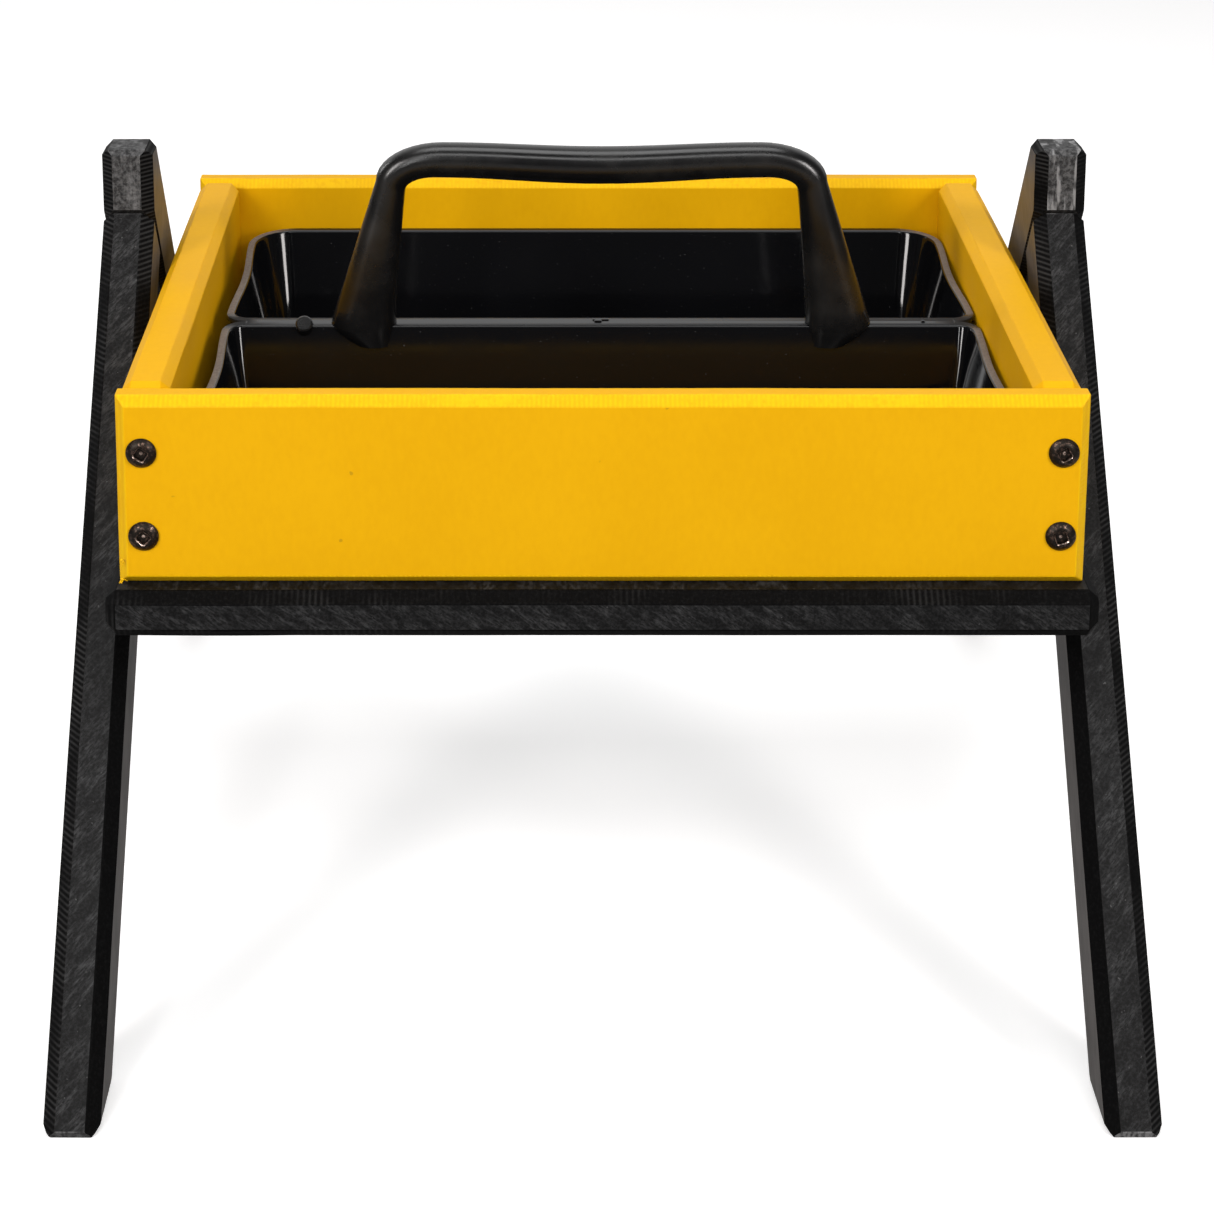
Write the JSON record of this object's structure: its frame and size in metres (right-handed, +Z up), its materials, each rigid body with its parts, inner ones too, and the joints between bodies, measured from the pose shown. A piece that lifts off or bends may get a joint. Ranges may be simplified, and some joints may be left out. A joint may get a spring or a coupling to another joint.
{
  "type": "tool bucket organizer",
  "caption": "Free-standing tool tray on A-shaped side frames, with a lift-out two-compartment caddy that has a loop handle.",
  "frame": {"origin": "on the floor, in the middle of the footprint of the four feet", "axes": "+X to the tray's right-hand end, +Y from the front feet to the rear feet, +Z up"},
  "size_m": [0.5394, 0.5902, 0.4218],
  "materials": {
    "yellow_board": "sawn and chamfered yellow polyethylene board, fine chatter along the chamfers",
    "black_board": "black polyethylene board with pale handling scuffs",
    "gloss_black_plastic": "glossy moulded black plastic with a matte trimmed lip",
    "satin_black_plastic": "satin moulded black plastic",
    "black_oxide": "black oxide steel screws"
  },
  "bodies": {
    "stand": {"front_board": "yellow_board", "rear_board": "yellow_board", "left_side_board": "yellow_board", "right_side_board": "yellow_board", "shelf": "black_board", "front_leg_left": "black_board", "front_leg_right": "black_board", "rear_leg_left": "black_board", "rear_leg_right": "black_board", "front_screw_left_upper": "black_oxide", "front_screw_left_lower": "black_oxide", "front_screw_right_upper": "black_oxide", "front_screw_right_lower": "black_oxide", "rear_screw_left_upper": "black_oxide", "rear_screw_left_lower": "black_oxide", "rear_screw_right_upper": "black_oxide", "rear_screw_right_lower": "black_oxide", "front_leg_screw_left_1": "black_oxide", "front_leg_screw_left_2": "black_oxide", "front_leg_screw_right_1": "black_oxide", "front_leg_screw_right_2": "black_oxide", "rear_leg_screw_left_1": "black_oxide", "rear_leg_screw_left_2": "black_oxide", "rear_leg_screw_right_1": "black_oxide", "rear_leg_screw_right_2": "black_oxide", "apex_screw_left_1": "black_oxide", "apex_screw_left_2": "black_oxide", "apex_screw_right_1": "black_oxide", "apex_screw_right_2": "black_oxide", "tray_screw_left_1": "black_oxide", "tray_screw_left_2": "black_oxide", "tray_screw_left_3": "black_oxide", "tray_screw_right_1": "black_oxide", "tray_screw_right_2": "black_oxide", "tray_screw_right_3": "black_oxide"},
    "caddy": {"caddy_tub": "gloss_black_plastic", "caddy_handle": "satin_black_plastic", "divider_peg": "satin_black_plastic"}
  },
  "joints": [
    {"name": "caddy_lift", "type": "slide", "parent": "stand", "child": "caddy", "axis": [0, 0, 1], "range_m": [0, 0.18]}
  ]
}
